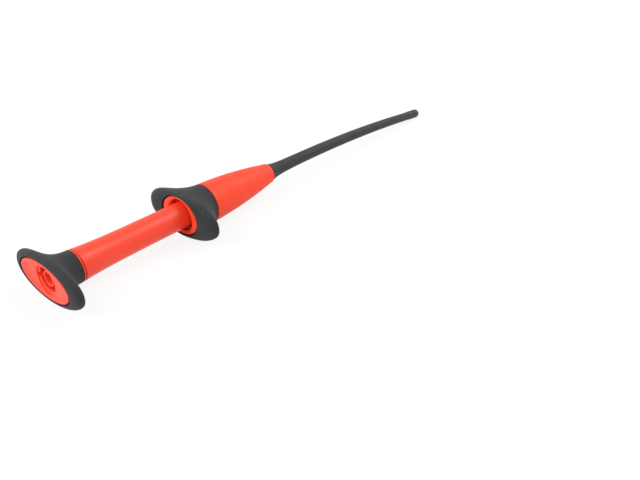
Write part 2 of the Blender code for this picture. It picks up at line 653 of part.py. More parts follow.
def add_drive_line(plunger, frame, crimp_end):
    """Rod in the plunger, the coupler on its end and the cable through the shaft."""
    rod_start = crimp_end - ROD_GRIP
    rod = [(rod_start, 0.0), (rod_start, ROD_RADIUS), (ROD_END_STATION, ROD_RADIUS),
           (ROD_END_STATION, 0.0)]
    add_piece("drive_rod", turn(rod, WIRE_SIDES * 2, closed=False), plunger, rod_start, STEEL, 0.3, 1.0)
    rod_hole = ROD_RADIUS + FINE_GAP
    cable_hole = CABLE_RADIUS + FINE_GAP
    cable_start = COUPLER_END - ROD_GRIP
    coupler = [
        (ROD_END_STATION + FINE_GAP, 0.0),
        (ROD_END_STATION + FINE_GAP, rod_hole),
        (COUPLER_START, rod_hole),
        (COUPLER_START, COUPLER_RADIUS),
        (COUPLER_END, COUPLER_RADIUS),
        (COUPLER_END, cable_hole),
        (cable_start - FINE_GAP, cable_hole),
        (cable_start - FINE_GAP, 0.0),
    ]
    add_piece("rod_coupler", turn(coupler, WIRE_SIDES * 2, closed=False), plunger, COUPLER_START,
              BRASS, 0.3, 1.0)
    end = SHAFT_LENGTH + NOSE_LENGTH - JAW_SETBACK - JAW_LENGTH - 2 * SEAT_GAP - CARRIER_LENGTH
    straight = np.linspace(cable_start, HANDLE_END, 12)
    centres = [(x, 0.0, 0.0) for x in straight]
    for distance in np.linspace(0.0, end, 26)[1:]:
        x, z, _ = shaft_point(distance)
        centres.append((x, 0.0, z))
    centres = np.array(centres)
    sideways = np.tile((0.0, 1.0, 0.0), (len(centres), 1))
    add_piece("drive_cable", sweep(centres, sideways, CABLE_RADIUS, WIRE_SIDES), frame, HANDLE_END,
              STEEL, 0.4, 1.0)


def shaft_ring(distance, radius, sides):
    """Ring of points square to the shaft at a distance from the handle's front face."""
    x, z, slope = shaft_point(distance)
    ring = flat_ring(0.0, radius, angles(sides))
    up = ring[:, 2].copy()
    ring[:, 0] = x + up * math.sin(slope)
    ring[:, 2] = z + up * math.cos(slope)
    return ring


def sleeve_radius(distance):
    """Outside of the shaft: a slow taper with a flare that fades away from the handle."""
    share = distance / SHAFT_LENGTH
    taper = SHAFT_REAR_RADIUS + (SHAFT_TIP_RADIUS - SHAFT_REAR_RADIUS) * share
    return taper + (SHAFT_BASE_RADIUS - SHAFT_REAR_RADIUS) * math.exp(-distance / SHAFT_FLARE_FADE)


def add_shaft(frame):
    """Soft sleeve of the shaft, and the slippery liner that the cable runs in."""
    stations = list(SEAT_GAP + SHAFT_FLARE_FADE * np.array([0.0, 0.25, 0.55, 0.9, 1.4, 2.0, 2.8]))
    stations += list(np.linspace(stations[-1], SHAFT_LENGTH, 19)[1:])
    root = SHAFT_ROOT_LENGTH - SEAT_GAP
    rings = [shaft_ring(-root, SHAFT_ROOT_RADIUS, SMALL_SIDES),
             shaft_ring(SEAT_GAP, SHAFT_ROOT_RADIUS, SMALL_SIDES)]
    rings += [shaft_ring(d, sleeve_radius(d), SMALL_SIDES) for d in stations]
    bore = [-root] + list(np.linspace(SHAFT_STRAIGHT, SHAFT_LENGTH, 14))
    rings += [shaft_ring(d, SHAFT_BORE_RADIUS, SMALL_SIDES) for d in reversed(bore)]
    add_piece("flex_sleeve", loft(rings, closed=True), frame, HANDLE_END, CHARCOAL, 0.6)
    start = LINER_START - HANDLE_END
    end = SHAFT_LENGTH - NOSE_ROOT_LENGTH - SEAT_GAP
    stations = [start] + list(np.linspace(SHAFT_STRAIGHT, end, 14))
    sides = WIRE_SIDES * 2
    rings = [shaft_ring(d, SHAFT_BORE_RADIUS - FINE_GAP, sides) for d in stations]
    rings += [shaft_ring(d, LINER_BORE_RADIUS, sides) for d in reversed(stations)]
    add_piece("shaft_liner", loft(rings, closed=True), frame, HANDLE_END, WHITE, 0.4)


def add_nose(tip):
    """Hard nose in the end of the sleeve, with a mouth wide enough for the spreading pincers."""
    phi = angles(SMALL_SIDES)
    rings = [flat_ring(x, radius, phi) for x, radius in nose_outline()]
    for share in (1.0, 0.5, 0.0):
        half_width = NOSE_BORE_RADIUS + (MOUTH_HALF_WIDTH - NOSE_BORE_RADIUS) * share
        station = NOSE_LENGTH * share
        rings.append(flat_ring(station, oval_radius(phi, half_width, NOSE_BORE_RADIUS), phi))
    rings.append(flat_ring(-NOSE_ROOT_LENGTH, NOSE_BORE_RADIUS, phi))
    add_piece("nose_tip", loft(rings, closed=True), tip, 0.0, CHARCOAL, 0.45)


def add_pincers(tip):
    """Carrier on the cable's end, and two spring wires whose hooks cross at their ends."""
    hinge = NOSE_LENGTH - JAW_SETBACK - JAW_LENGTH
    carrier_end = hinge - SEAT_GAP
    carrier_start = carrier_end - CARRIER_LENGTH
    slide = add_empty("pincer_slide", (carrier_start, 0, 0), tip)
    edge = CARRIER_RADIUS / 3
    outline = [
        (carrier_start, 0.0),
        (carrier_start, CARRIER_RADIUS - edge),
        (carrier_start + edge, CARRIER_RADIUS),
        (carrier_end, CARRIER_RADIUS),
        (carrier_end, 0.0),
    ]
    bm = turn(outline, WIRE_SIDES * 2, closed=False)
    carrier = add_piece("pincer_carrier", bm, slide, carrier_start, STEEL, 0.3, 1.0)
    carrier.location = (0, 0, 0)
    hook_start = JAW_LENGTH - JAW_WIRE_RADIUS - JAW_HOOK_LENGTH
    for name, side in (("pincer_left", 1), ("pincer_right", -1)):
        centres = [(0.0, 0.0), (hook_start * 0.5, 0.0), (hook_start, 0.0)]
        steps = 5
        for step in range(1, steps + 1):
            angle = step / steps * math.pi / 2
            centres.append((hook_start + JAW_HOOK_LENGTH * math.sin(angle),
                            -JAW_HOOK_LENGTH * (1 - math.cos(angle))))
        centres = np.array([(x, side * y, 0.0) for x, y in centres])
        upright = np.tile((0.0, 0.0, 1.0), (len(centres), 1))
        jaw = add_piece(name, sweep(centres, upright, JAW_WIRE_RADIUS, WIRE_SIDES), slide, 0.0,
                        STEEL, 0.25, 1.0)
        jaw.location = (hinge - carrier_start, side * JAW_SIDE_OFFSET, side * JAW_HEIGHT_OFFSET)


for old in list(bpy.data.objects):
    bpy.data.objects.remove(old)

clip_frame = add_empty("clip_frame", (-MIDDLE_STATION, 0, AXIS_HEIGHT))
plunger_slide = add_empty("plunger_slide", (0, 0, 0), clip_frame)
tip_x, tip_z, tip_slope = shaft_point(SHAFT_LENGTH)
tip_frame = add_empty("tip_frame", (tip_x, 0, tip_z), clip_frame, tip_slope)

add_handle(clip_frame)
add_finger_guard(clip_frame)
add_bush(clip_frame)
add_spring_seat(clip_frame)
add_spring(clip_frame)
add_shaft(clip_frame)
add_nose(tip_frame)

add_plunger_tube(plunger_slide)
add_thumb_grip(plunger_slide)
add_end_plate(plunger_slide)
CRIMP_END = add_socket(plunger_slide)
add_stop_collar(plunger_slide)
add_drive_line(plunger_slide, clip_frame, CRIMP_END)

add_pincers(tip_frame)
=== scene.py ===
"""Looks of a plunger test clip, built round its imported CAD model, in metres."""
import math

import bmesh
import bpy
import numpy as np
from mathutils import Matrix, Vector


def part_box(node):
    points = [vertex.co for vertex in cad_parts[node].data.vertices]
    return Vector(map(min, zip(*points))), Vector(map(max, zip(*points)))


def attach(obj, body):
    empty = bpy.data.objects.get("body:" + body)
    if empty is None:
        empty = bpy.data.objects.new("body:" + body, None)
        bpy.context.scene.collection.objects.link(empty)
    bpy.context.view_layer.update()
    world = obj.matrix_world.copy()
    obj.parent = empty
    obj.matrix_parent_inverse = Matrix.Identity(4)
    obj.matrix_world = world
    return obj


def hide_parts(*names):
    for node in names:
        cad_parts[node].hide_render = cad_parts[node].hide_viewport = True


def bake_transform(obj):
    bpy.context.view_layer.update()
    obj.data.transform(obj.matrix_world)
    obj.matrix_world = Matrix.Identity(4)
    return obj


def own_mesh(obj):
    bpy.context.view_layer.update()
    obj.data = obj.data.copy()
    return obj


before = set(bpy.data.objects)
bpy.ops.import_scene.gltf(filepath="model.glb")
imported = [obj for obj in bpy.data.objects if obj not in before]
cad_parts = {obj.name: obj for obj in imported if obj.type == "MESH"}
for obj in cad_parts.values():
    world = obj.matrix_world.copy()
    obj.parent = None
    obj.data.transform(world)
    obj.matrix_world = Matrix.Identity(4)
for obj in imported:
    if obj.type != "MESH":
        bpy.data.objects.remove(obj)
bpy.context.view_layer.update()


# Handle barrel
# The red grip body of the clip, injection moulded in one piece. An oval collar at its rear shows
# in the finger guard, its inside is bored for the plunger, and the shaft leaves through its front.

barrel_low, barrel_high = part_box("handle_body")
guard_low, guard_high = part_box("finger_guard")
axis_height = (barrel_low.z + barrel_high.z) / 2
collar_face = barrel_low.x
barrel_front = barrel_high.x
seat_clearance = 0.0003
barrel_seam = guard_high.x + seat_clearance
collar_half_width = barrel_high.y
collar_half_height = 0.007
collar_thickness = 0.0015
collar_edge = 0.0004
neck_radius = 0.0066
seam_radius = (barrel_high.z - barrel_low.z) / 2
middle_radius = 0.00623
front_radius = 0.00375
front_rounding = 0.00035
seam_rounding = 0.00012
hole_radius = 0.006
hole_depth = 0.008
hole_bevel = 0.0005
hole_edge = 0.0001
hole_edge_out = 0.4 * hole_edge
bore_radius = 0.0056
bore_end = collar_face + 0.0228
key_groove_radius = 0.00615
key_groove_half_width = 0.001
chamber_radius = 0.00505
chamber_end = barrel_front - 0.0128
cavity_radius = 0.00335
cavity_end = barrel_front - 0.0047
root_hole_radius = 0.0027


def round_the_axis(count, stretch=1.0):
    """Angles from +Y towards +Z, once round: atan2(sin t, stretch cos t) for equal steps of t."""
    t = np.arange(count) * 2 * np.pi / count
    return np.arctan2(np.sin(t), stretch * np.cos(t))


def oval(phi, half_width, half_height, power=2.0):
    """Radius of a superellipse: (|cos phi / w|^p + |sin phi / h|^p)^(-1/p)."""
    total = np.abs(np.cos(phi) / half_width) ** power + np.abs(np.sin(phi) / half_height) ** power
    return total ** (-1 / power)


def edge_arc(x, r, size, first, last, steps=6):
    """Points (x + size cos a, r + size sin a) of an arc, with a in degrees from first to last."""
    a = np.radians(np.linspace(first, last, steps + 1))
    return np.stack([x + size * np.cos(a), r + size * np.sin(a)], axis=1)


def piece_from_grid(name, points, closed_rows=True):
    """Mesh of a grid of points whose columns run once round. The last row joins the first, or
    both end rows lie on the axis. Points that share a place are merged into one."""
    rows, cols = points.shape[:2]
    row = np.arange(rows if closed_rows else rows - 1)[:, None]
    col = np.arange(cols)[None, :]
    next_row, next_col = (row + 1) % rows, (col + 1) % cols
    corners = [row * cols + col, row * cols + next_col,
               next_row * cols + next_col, next_row * cols + col]
    faces = np.stack(np.broadcast_arrays(*corners), axis=-1).reshape(-1, 4)
    mesh = bpy.data.meshes.new(name)
    mesh.from_pydata(points.reshape(-1, 3).tolist(), [], faces.tolist())
    joined = bmesh.new()
    joined.from_mesh(mesh)
    bmesh.ops.remove_doubles(joined, verts=joined.verts, dist=1e-7)
    joined.to_mesh(mesh)
    joined.free()
    mesh.shade_smooth()
    mesh.set_sharp_from_angle(angle=math.radians(40))
    piece = bpy.data.objects.new(name, mesh)
    bpy.context.scene.collection.objects.link(piece)
    return piece


def turned_piece(name, x, radius, phi, closed_rows=True):
    """Piece whose point at station x and angle phi is (x, r cos phi, axis height + r sin phi)."""
    rows = np.broadcast_arrays(x, radius * np.cos(phi), axis_height + radius * np.sin(phi))
    return piece_from_grid(name, np.stack(rows, axis=-1), closed_rows)


def moulded_material(name, colour, shade, shine, roughness, streak, grain_size, grain_depth):
    """Moulded plastic: its colour drifts towards a shade in soft streaks along the piece, its
    roughness drifts with them, and a fine grain from the mould's surface bumps it."""
    material = bpy.data.materials.new(name)
    material.use_nodes = True
    nodes, links = material.node_tree.nodes, material.node_tree.links
    shader = nodes["Principled BSDF"]
    shader.inputs["Specular IOR Level"].default_value = shine
    place = nodes.new("ShaderNodeTexCoord")
    stretch = nodes.new("ShaderNodeMapping")
    stretch.inputs["Scale"].default_value = (streak, 1.0, 1.0)
    drift = nodes.new("ShaderNodeTexNoise")
    drift.inputs["Scale"].default_value = 260.0
    drift.inputs["Detail"].default_value = 3.0
    tint = nodes.new("ShaderNodeMix")
    tint.data_type = "RGBA"
    tint.inputs["A"].default_value = (*colour, 1.0)
    tint.inputs["B"].default_value = (*shade, 1.0)
    polish = nodes.new("ShaderNodeMapRange")
    polish.inputs["From Min"].default_value = 0.3
    polish.inputs["From Max"].default_value = 0.7
    polish.inputs["To Min"].default_value = roughness - 0.05
    polish.inputs["To Max"].default_value = roughness + 0.06
    grain = nodes.new("ShaderNodeTexNoise")
    grain.inputs["Scale"].default_value = 1.0 / grain_size
    grain.inputs["Detail"].default_value = 2.0
    bump = nodes.new("ShaderNodeBump")
    bump.inputs["Strength"].default_value = 0.35
    bump.inputs["Distance"].default_value = grain_depth
    links.new(place.outputs["Object"], stretch.inputs["Vector"])
    links.new(stretch.outputs["Vector"], drift.inputs["Vector"])
    links.new(drift.outputs["Fac"], tint.inputs["Factor"])
    links.new(tint.outputs["Result"], shader.inputs["Base Color"])
    links.new(drift.outputs["Fac"], polish.inputs["Value"])
    links.new(polish.outputs["Result"], shader.inputs["Roughness"])
    links.new(place.outputs["Object"], grain.inputs["Vector"])
    links.new(grain.outputs["Fac"], bump.inputs["Height"])
    links.new(bump.outputs["Normal"], shader.inputs["Normal"])
    return material


red_matt = moulded_material("red_matt", colour=(0.92, 0.058, 0.016), shade=(0.88, 0.046, 0.012),
                            shine=0.35, roughness=0.52, streak=1.0, grain_size=0.00025,
                            grain_depth=0.00005)

phi = round_the_axis(192)
collar = oval(phi, collar_half_width, collar_half_height)
collar_lip = edge_arc(collar_face + collar_edge, -collar_edge, collar_edge, 180, 90)
share = np.linspace(0, 1, 61)[1:-1]
wall_x = barrel_seam + seam_rounding + (barrel_front - front_rounding - barrel_seam) * share
along = (wall_x - barrel_seam) / (barrel_front - barrel_seam)
# The wall is the parabola through the radii at the seam, half way and at the front.
wall_radius = (2 * (along - 0.5) * (along - 1) * seam_radius + 4 * along * (1 - along) * middle_radius
               + 2 * along * (along - 0.5) * front_radius)
seam_lip = edge_arc(barrel_seam + seam_rounding, seam_radius - seam_rounding, seam_rounding, 180, 90)
front_lip = edge_arc(barrel_front - front_rounding, wall_radius[-1] - front_rounding,
                     front_rounding, 85, 0)
groove = np.where(np.abs(np.tan(phi)) * key_groove_radius < key_groove_half_width,
                  key_groove_radius, bore_radius)
hole_lip = np.concatenate([
    [(collar_face + hole_bevel, hole_radius)],
    edge_arc(collar_face + hole_edge, hole_radius + hole_bevel + hole_edge_out, hole_edge,
             225, 180, steps=3)])
plain_rows = np.array([
    (barrel_front, root_hole_radius),
    (cavity_end, root_hole_radius),
    (cavity_end, cavity_radius),
    (chamber_end, cavity_radius),
    (chamber_end, chamber_radius),
    (bore_end, chamber_radius),
])
barrel_x = np.concatenate([
    collar_lip[:, 0],
    [collar_face + collar_thickness, collar_face + collar_thickness, barrel_seam],
    seam_lip[:, 0], wall_x, front_lip[:, 0], plain_rows[:, 0],
    [bore_end, collar_face + hole_depth, collar_face + hole_depth], hole_lip[:, 0],
])
flat = np.ones_like(phi)
barrel_radius = np.concatenate([
    collar + collar_lip[:, 1:],
    [collar, neck_radius * flat, neck_radius * flat],
    seam_lip[:, 1:] * flat, wall_radius[:, None] * flat, front_lip[:, 1:] * flat,
    plain_rows[:, 1:] * flat,
    [groove, groove, hole_radius * flat], hole_lip[:, 1:] * flat,
])
barrel = turned_piece("handle_barrel", barrel_x[:, None], barrel_radius, phi)
barrel.data.materials.append(red_matt)
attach(barrel, "housing")
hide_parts("handle_body")


# Finger guard
# Two soft wings for the first two fingers, a matt thermoplastic rubber moulded straight onto the
# barrel. The oval rim rolls over into a hollow front and runs out into a thin collar on the barrel.

guard_half_width = guard_high.y
guard_half_height = (guard_high.z - guard_low.z) / 2
guard_step = 0.0003
guard_rear = collar_face - guard_step
guard_rim = (0.0014, 0.0027)
guard_bulge = (0.0026, 0.0009)
guard_sweep = (0.0025, 0.0042)
guard_fullness = (0.7, 0.6)
guard_front = guard_high.x
guard_neck_wall = 0.0008
collar_gap = 0.00042
rim_power = 2.2
wing_stretch = 1.6


def soft_grip_rows(edge, rear, rim, front, outer, recess, neck, bulge, sweep, reach, fullness):
    """Rows of a rolled oval grip at each angle. A cubic Bezier turns from the recess's edge out to
    the rim, and a second one runs as an S from the rim to the round neck. rear, rim, bulge and
    sweep are (top, wing) pairs, mixed by reach, which is 0 over the axis and 1 at a wing's end.
    fullness is how far the first curve's inner points reach outwards and back from the rim."""
    rear_x, rim_x, bulge_x, sweep_x = (top + (wing - top) * reach
                                       for top, wing in (rear, rim, bulge, sweep))
    turn = np.linspace(0, 1, 25)[:, None]
    run = np.linspace(0, 1, 61)[1:, None]

    def bezier(s, a, b, c, d):
        """Cubic Bezier: (1-s)^3 a + 3 (1-s)^2 s b + 3 (1-s) s^2 c + s^3 d."""
        return (1 - s) ** 3 * a + 3 * (1 - s) ** 2 * s * b + 3 * (1 - s) * s**2 * c + s**3 * d

    x = np.concatenate([
        bezier(turn, edge, rear_x + (rear_x - edge) / 3, rim_x - fullness[1] * (rim_x - rear_x), rim_x),
        bezier(run, rim_x, rim_x + bulge_x, front - sweep_x, front),
    ])
    radius = np.concatenate([
        bezier(turn, recess, recess + fullness[0] * (outer - recess), outer, outer),
        bezier(run, outer, outer, neck, neck),
    ])
    return x, radius


def rubber_material(name, colour, shade, shine, roughness, speck_size):
    """Soft matt rubber: a low sheen, a cloudy tint, a fine stipple, and a few pale specks of dust.
    A speck lies round the middle of a Voronoi cell, in the cells whose own value is over 0.72."""
    material = moulded_material(name, colour, shade, shine, roughness, streak=1.0,
                                grain_size=0.00022, grain_depth=0.00004)
    nodes, links = material.node_tree.nodes, material.node_tree.links
    shader = nodes["Principled BSDF"]
    shader.inputs["Sheen Weight"].default_value = 0.07
    shader.inputs["Sheen Roughness"].default_value = 0.5
    place = next(node for node in nodes if node.type == "TEX_COORD")
    tint = next(node for node in nodes if node.type == "MIX")
    cells = nodes.new("ShaderNodeTexVoronoi")
    cells.inputs["Scale"].default_value = 420.0
    dust = nodes.new("ShaderNodeMapRange")
    dust.inputs["From Min"].default_value = speck_size
    dust.inputs["From Max"].default_value = speck_size * 0.6
    chosen = nodes.new("ShaderNodeMath")
    chosen.operation = "GREATER_THAN"
    chosen.inputs[1].default_value = 0.72
    both = nodes.new("ShaderNodeMath")
    both.operation = "MULTIPLY"
    pale = nodes.new("ShaderNodeMix")
    pale.data_type = "RGBA"
    pale.inputs["B"].default_value = (0.22, 0.22, 0.22, 1.0)
    links.new(place.outputs["Object"], cells.inputs["Vector"])
    links.new(cells.outputs["Distance"], dust.inputs["Value"])
    links.new(cells.outputs["Color"], chosen.inputs[0])
    links.new(dust.outputs["Result"], both.inputs[0])
    links.new(chosen.outputs["Value"], both.inputs[1])
    links.new(both.outputs["Value"], pale.inputs["Factor"])
    links.new(tint.outputs["Result"], pale.inputs["A"])
    links.new(pale.outputs["Result"], shader.inputs["Base Color"])
    return material


soft_rubber = rubber_material("soft_rubber", colour=(0.031, 0.035, 0.038), shade=(0.025, 0.027, 0.03),
                              shine=0.14, roughness=0.66, speck_size=0.06)

phi = round_the_axis(288, stretch=wing_stretch)
rim_radius = oval(phi, guard_half_width, guard_half_height, rim_power)
guard_recess = oval(phi, collar_half_width + collar_gap, collar_half_height + collar_gap)
guard_reach = (rim_radius - guard_half_height) / (guard_half_width - guard_half_height)
guard_x, guard_radius = soft_grip_rows(
    edge=guard_rear, rear=(guard_rear, guard_low.x),
    rim=(guard_rear + guard_rim[0], guard_rear + guard_rim[1]), front=guard_front,
    outer=rim_radius, recess=guard_recess, neck=neck_radius + guard_neck_wall,
    bulge=guard_bulge, sweep=guard_sweep, reach=guard_reach, fullness=guard_fullness)
flat = np.ones_like(phi)
floor_x = collar_face + collar_thickness + seat_clearance
guard_bore = neck_radius + seat_clearance
guard_x = np.concatenate([guard_x, [guard_front * flat, floor_x * flat, floor_x * flat]])
guard_radius = np.concatenate([guard_radius, [guard_bore * flat, guard_bore * flat, guard_recess]])
guard = turned_piece("winged_guard", guard_x, guard_radius, phi)
guard.data.materials.append(soft_rubber)
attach(guard, "housing")
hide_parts("finger_guard")


# Bush, spring seat, guide tube and ferrule
# Small parts inside the handle: a red bush that guides the plunger, darkened as painted shade for the
# deep hole round the plunger, a white plug that the spring pushes on, a brass tube that leads the
# cable, and the steel ring crimped round the shaft's root.

# The bush's red is darker than the other red parts: painted shade for the deep hole it sits in.
bush_plastic_painted_shade = moulded_material("bush_plastic_painted_shade", colour=(0.5, 0.02, 0.014), shade=(0.42, 0.016, 0.01),
                                shine=0.3, roughness=0.5, streak=1.0, grain_size=0.0003,
                                grain_depth=0.00003)
bearing_plastic = moulded_material("bearing_plastic", colour=(0.8, 0.8, 0.77),
                                   shade=(0.72, 0.72, 0.68), shine=0.4, roughness=0.45, streak=1.0,
                                   grain_size=0.0004, grain_depth=0.00003)


def turned_metal(name, colour, shade, roughness, mark_width):
    """Metal turned on a lathe or drawn: fine rings from a wave along X bump it and shade it."""
    material = bpy.data.materials.new(name)
    material.use_nodes = True
    nodes, links = material.node_tree.nodes, material.node_tree.links
    shader = nodes["Principled BSDF"]
    shader.inputs["Metallic"].default_value = 1.0
    place = nodes.new("ShaderNodeTexCoord")
    marks = nodes.new("ShaderNodeTexWave")
    marks.inputs["Scale"].default_value = 0.05 / mark_width
    marks.inputs["Distortion"].default_value = 3.0
    marks.inputs["Detail"].default_value = 3.0
    tint = nodes.new("ShaderNodeMix")
    tint.data_type = "RGBA"
    tint.inputs["A"].default_value = (*colour, 1.0)
    tint.inputs["B"].default_value = (*shade, 1.0)
    polish = nodes.new("ShaderNodeMapRange")
    polish.inputs["To Min"].default_value = roughness - 0.06
    polish.inputs["To Max"].default_value = roughness + 0.06
    bump = nodes.new("ShaderNodeBump")
    bump.inputs["Strength"].default_value = 0.2
    bump.inputs["Distance"].default_value = 0.00001
    links.new(place.outputs["Object"], marks.inputs["Vector"])
    links.new(marks.outputs["Fac"], tint.inputs["Factor"])
    links.new(tint.outputs["Result"], shader.inputs["Base Color"])
    links.new(marks.outputs["Fac"], polish.inputs["Value"])
    links.new(polish.outputs["Result"], shader.inputs["Roughness"])
    links.new(marks.outputs["Fac"], bump.inputs["Height"])
    links.new(bump.outputs["Normal"], shader.inputs["Normal"])
    return material


def give_finish(node, finish):
    """Puts one new material on a solid of the CAD model, which keeps its own mesh."""
    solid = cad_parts[node]
    solid.data.materials.clear()
    solid.data.materials.append(finish)


drawn_brass = turned_metal("drawn_brass", colour=(0.72, 0.53, 0.22), shade=(0.6, 0.42, 0.16),
                           roughness=0.28, mark_width=0.0003)
plain_steel = turned_metal("plain_steel", colour=(0.62, 0.62, 0.63), shade=(0.5, 0.5, 0.52),
                           roughness=0.3, mark_width=0.0002)
give_finish("retaining_bush", bush_plastic_painted_shade)
give_finish("spring_seat", bearing_plastic)
give_finish("guide_tube", drawn_brass)
give_finish("anchor_ferrule", plain_steel)


# Return spring
# Cold wound spring steel wire with a closed turn at each end. It stands between the shoulder in the
# plunger and the spring seat, and shortens as the thumb rest is pushed in.

spring_low, spring_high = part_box("return_spring")
spring_wire_radius = 0.0003
coil_radius = spring_high.y - spring_wire_radius
spring_turns = 12
points_per_turn = 36
closed_turns = 1.0
closed_pitch = 2.05 * spring_wire_radius


def wire_piece(name, centres, across, radius, sides):
    """Round wire along centres: each ring is centre + r (cos t a + sin t b), where a is across made
    square to the wire and b is square to both. At each end the rings shrink along a half ellipse
    0.6 r deep, which takes the place of the rings less than one radius from the end."""
    forward = np.gradient(centres, axis=0)
    forward /= np.linalg.norm(forward, axis=1, keepdims=True)
    first = across - forward * np.sum(across * forward, axis=1, keepdims=True)
    first /= np.linalg.norm(first, axis=1, keepdims=True)
    second = np.cross(forward, first)
    t = (np.arange(sides) * 2 * np.pi / sides)[:, None]
    ring = radius * (first[:, None] * np.cos(t) + second[:, None] * np.sin(t))
    walked = np.concatenate([[0], np.cumsum(np.linalg.norm(np.diff(centres, axis=0), axis=1))])
    between = (walked > radius) & (walked < walked[-1] - radius)
    cap = np.radians(np.linspace(90, 0, 5))[:, None, None]
    cap_depth = 0.6 * radius * (1 - np.sin(cap))
    start = centres[0] + forward[0] * cap_depth + np.cos(cap) * ring[0]
    end = centres[-1] - forward[-1] * cap_depth + np.cos(cap) * ring[-1]
    rows = np.concatenate([start, (centres[:, None] + ring)[between], end[::-1]])
    return piece_from_grid(name, rows, closed_rows=False)


turned = np.linspace(0, 1, spring_turns * points_per_turn + 1)
closed_share = closed_turns / spring_turns
closed_length = closed_turns * closed_pitch
spring_span = spring_high.x - spring_low.x - 2 * spring_wire_radius
climb = np.interp(turned, [0, closed_share, 1 - closed_share, 1],
                  [0, closed_length, spring_span - closed_length, spring_span])
angle = 2 * np.pi * spring_turns * turned
across = np.stack([0 * angle, np.cos(angle), np.sin(angle)], axis=1)
coil = across * coil_radius + np.array([0, 0, axis_height])
coil[:, 0] = spring_low.x + spring_wire_radius + climb
spring = wire_piece("return_coil", coil, across, spring_wire_radius, sides=12)
spring_steel = turned_metal("spring_steel", colour=(0.66, 0.66, 0.67), shade=(0.55, 0.55, 0.57),
                            roughness=0.24, mark_width=0.0004)
spring.data.materials.append(spring_steel)
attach(spring, "housing")
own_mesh(spring)
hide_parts("return_spring")


# Flexible shaft
# A dark soft sleeve, moulded with a flared base that meets the handle's front. It leaves the handle
# straight, droops along one arc and ends straight, and it carries a white liner for the cable.

shaft_straight = 0.0074
shaft_length = 0.0945
shaft_tail = 0.0103
shaft_bend = math.radians(6.1)
shaft_arc = shaft_length - shaft_straight - shaft_tail
bend_radius = shaft_arc / shaft_bend
base_radius = 0.0036
flare_fade = 0.0038
rear_radius = 0.0024
tip_radius = 0.00184
shaft_bore = 0.0015
root_radius = 0.0024
root_length = 0.0093
base_gap = 0.00004
base_edge = 0.0001
end_edge = 0.00005


def droop(distance):
    """Centre (x, z) and downward slope at a distance from the handle's front: straight, then a
    round arc of the bend radius, then straight along the arc's last direction."""
    slope = np.clip((distance - shaft_straight) / bend_radius, 0, shaft_bend)
    before = np.minimum(distance, shaft_straight)
    after = np.maximum(distance - shaft_straight - shaft_arc, 0)
    x = barrel_front + before + bend_radius * np.sin(slope) + after * np.cos(slope)
    z = axis_height - bend_radius * (1 - np.cos(slope)) - after * np.sin(slope)
    return x, z, slope


def shaft_radius(distance):
    """Straight taper from the rear to the tip, plus a flare that fades as exp(-distance / fade)."""
    taper = rear_radius + (tip_radius - rear_radius) * distance / shaft_length
    return taper + (base_radius - rear_radius) * np.exp(-distance / flare_fade)


def shaft_rows(distance, radius, phi):
    """Rings square to the shaft: centre + r (cos phi Y + sin phi (sin slope X + cos slope Z))."""
    x, z, slope = (value[:, None] for value in droop(distance))
    up = radius * np.sin(phi)
    return np.stack([x + up * np.sin(slope), radius * np.cos(phi), z + up * np.cos(slope)], axis=-1)


phi = round_the_axis(64)
base_lip = edge_arc(base_gap + base_edge, -base_edge, base_edge, 180, 90, steps=4)
# The rows stand closer together near the base, where the flare is.
out_share = np.linspace(0, 1, 141)[1:] ** 1.6
out_run = base_lip[-1, 0] + (shaft_length - end_edge - base_lip[-1, 0]) * out_share
out_radius = shaft_radius(out_run)
end_lip = edge_arc(shaft_length - end_edge, out_radius[-1] - end_edge, end_edge, 60, 0, steps=3)
back_run = np.linspace(shaft_length, 0, 60)
sleeve_run = np.concatenate([[-root_length, base_gap], base_lip[:, 0], out_run, end_lip[:, 0],
                             back_run, [-root_length]])
sleeve_radius = np.concatenate([[root_radius, root_radius], shaft_radius(base_gap) + base_lip[:, 1],
                                out_radius, end_lip[:, 1], 0 * back_run + shaft_bore, [shaft_bore]])
sleeve = piece_from_grid("shaft_sleeve", shaft_rows(sleeve_run, sleeve_radius[:, None], phi))
sleeve_rubber = rubber_material("sleeve_rubber", colour=(0.032, 0.034, 0.036),
                                shade=(0.026, 0.027, 0.029), shine=0.22, roughness=0.6,
                                speck_size=0.04)
sleeve.data.materials.append(sleeve_rubber)
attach(sleeve, "housing")
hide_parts("flex_sleeve")
give_finish("shaft_liner", bearing_plastic)


# Nose
# A hard dark plastic tip, pressed and glued into the sleeve's end. It is a little fuller than the
# sleeve, rounded at its front, and its mouth is widened sideways for the spreading pincers.

nose_length = 0.008
nose_root = 0.01
nose_radius = 0.00195
nose_rounding = 0.0012
nose_rounding_depth = 0.0006
nose_gap = 0.00004
shoulder_length = 0.001
root_clearance = 0.00015
nose_bore = 0.00105
mouth_half_width = 0.00138

tip_x, tip_z, tip_slope = (float(value) for value in droop(np.array(shaft_length)))
tip_centre = np.array([tip_x, 0, tip_z])
forward = np.array([math.cos(tip_slope), 0, -math.sin(tip_slope)])
upward = np.array([math.sin(tip_slope), 0, math.cos(tip_slope)])
sideways = np.array([0.0, 1.0, 0.0])


def tip_rows(x, radius, phi):
    """Rings square to the tip: tip centre + x forward + r (cos phi sideways + sin phi upward)."""
    angle = phi[:, None]
    ring = radius[:, :, None] * (np.cos(angle) * sideways + np.sin(angle) * upward)
    return tip_centre + x[:, None, None] * forward + ring


